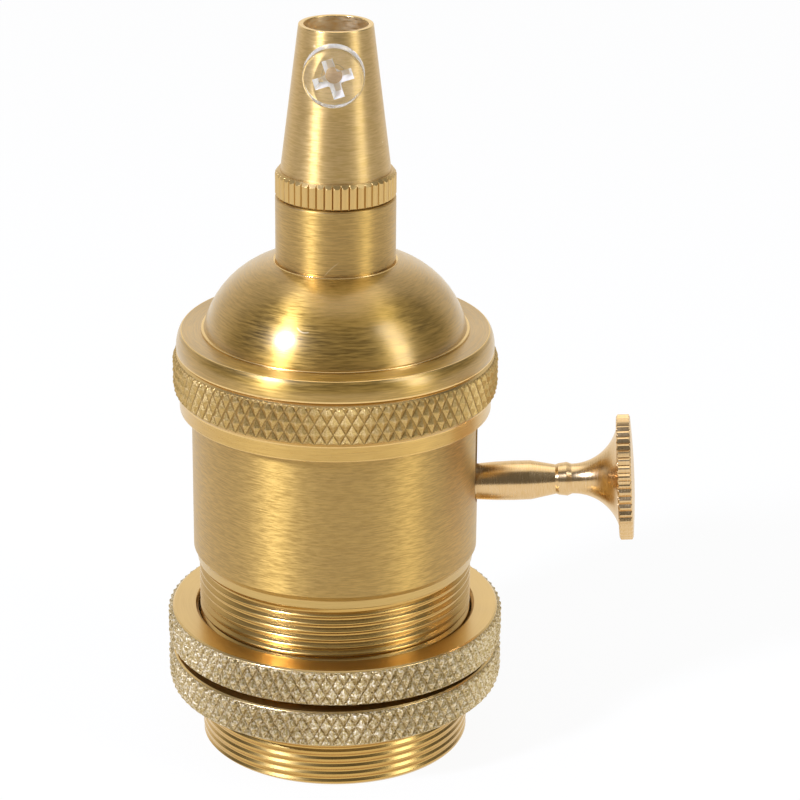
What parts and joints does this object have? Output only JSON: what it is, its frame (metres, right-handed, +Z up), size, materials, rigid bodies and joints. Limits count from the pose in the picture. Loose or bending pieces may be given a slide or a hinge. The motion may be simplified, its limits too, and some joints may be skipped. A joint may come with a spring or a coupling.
{
  "type": "lamp holder",
  "caption": "Brass screw lamp holder with a turn-key switch, a domed cap, a conical cord grip with a clear clamping screw, and two knurled shade rings on its thread.",
  "frame": {"origin": "centre of the open lower rim", "axes": "+Z up the holder's axis to the cord inlet; the switch key points along +X"},
  "size_m": [0.064, 0.0462, 0.1009],
  "materials": {
    "satin_brass": "brushed round the axis, unlacquered satin",
    "knurled_brass": "turned and knurled, slightly paler",
    "polished_brass": "polished",
    "clear_plastic": "clear, moulded",
    "plated_steel": "zinc plated",
    "spring_bronze": "cold rolled spring bronze",
    "contact_brass": "stamped brass",
    "plated_shell": "nickel plated, rolled",
    "moulded_insulator": "moulded, off-white",
    "fibre_board": "pressed fibre"
  },
  "bodies": {
    "holder": {"cord_grip": "satin_brass", "threaded_nipple": "plated_steel", "nipple_locknut": "plated_steel", "cap": "satin_brass", "sleeve": "satin_brass", "core_body": "moulded_insulator", "switch_cover": "fibre_board", "cover_screws": "plated_steel", "insulating_liner": "fibre_board", "live_finger": "spring_bronze", "centre_finger": "spring_bronze", "centre_rivet": "contact_brass", "centre_contact": "spring_bronze", "screw_shell": "plated_shell", "shell_rivets": "contact_brass", "neutral_strip": "contact_brass", "live_terminal": "contact_brass", "neutral_terminal": "contact_brass", "terminal_screws": "plated_steel"},
    "key": {"switch_key": "polished_brass", "switch_spindle": "plated_steel", "spindle_clip": "plated_steel", "spring_washer": "spring_bronze", "switch_drum": "moulded_insulator", "drum_contact": "contact_brass"},
    "upper_ring": {"shade_ring_upper": "knurled_brass"},
    "lower_ring": {"shade_ring_lower": "knurled_brass"},
    "grip_screw": {"cord_grip_screw": "clear_plastic"}
  },
  "joints": [
    {"name": "key_turn", "type": "hinge", "parent": "holder", "child": "key", "pos_m": [0, 0, 0.03626], "axis": [0.9976, 0, 0.0698], "continuous": true},
    {"name": "upper_ring_travel", "type": "slide", "parent": "holder", "child": "upper_ring", "axis": [0, 0, 1], "range_m": [0, 0.0074]},
    {"name": "lower_ring_travel", "type": "slide", "parent": "holder", "child": "lower_ring", "axis": [0, 0, -1], "range_m": [0, 0.0074]},
    {"name": "grip_screw_travel", "type": "slide", "parent": "holder", "child": "grip_screw", "axis": [0.0471, -0.9989, 0], "range_m": [0, 0.003]}
  ]
}
